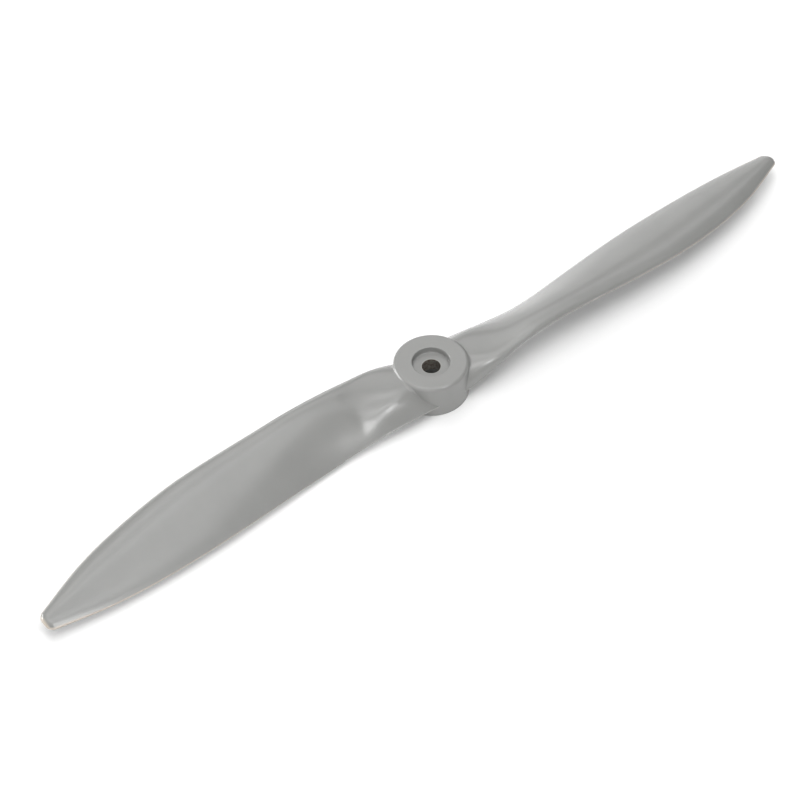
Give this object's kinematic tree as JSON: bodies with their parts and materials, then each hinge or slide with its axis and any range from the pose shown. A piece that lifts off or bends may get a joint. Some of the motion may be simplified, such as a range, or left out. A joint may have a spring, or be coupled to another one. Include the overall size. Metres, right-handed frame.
{
  "type": "propeller",
  "caption": "Fixed-pitch moulded propeller with a round cored hub, a central shaft bore and slender twisted aerofoil blades, for model aircraft and drones.",
  "frame": {"origin": "centre of the hub's back face, on the shaft bore's axis", "axes": "+Z along the shaft bore from the back face to the front face, +X through the right blade's tip"},
  "size_m": [0.2666, 0.0274, 0.0127],
  "materials": {
    "nylon": "satin grey glass-filled nylon"
  },
  "bodies": {
    "root": {"hub": "nylon", "right_blade": "nylon", "left_blade": "nylon"}
  },
  "joints": []
}
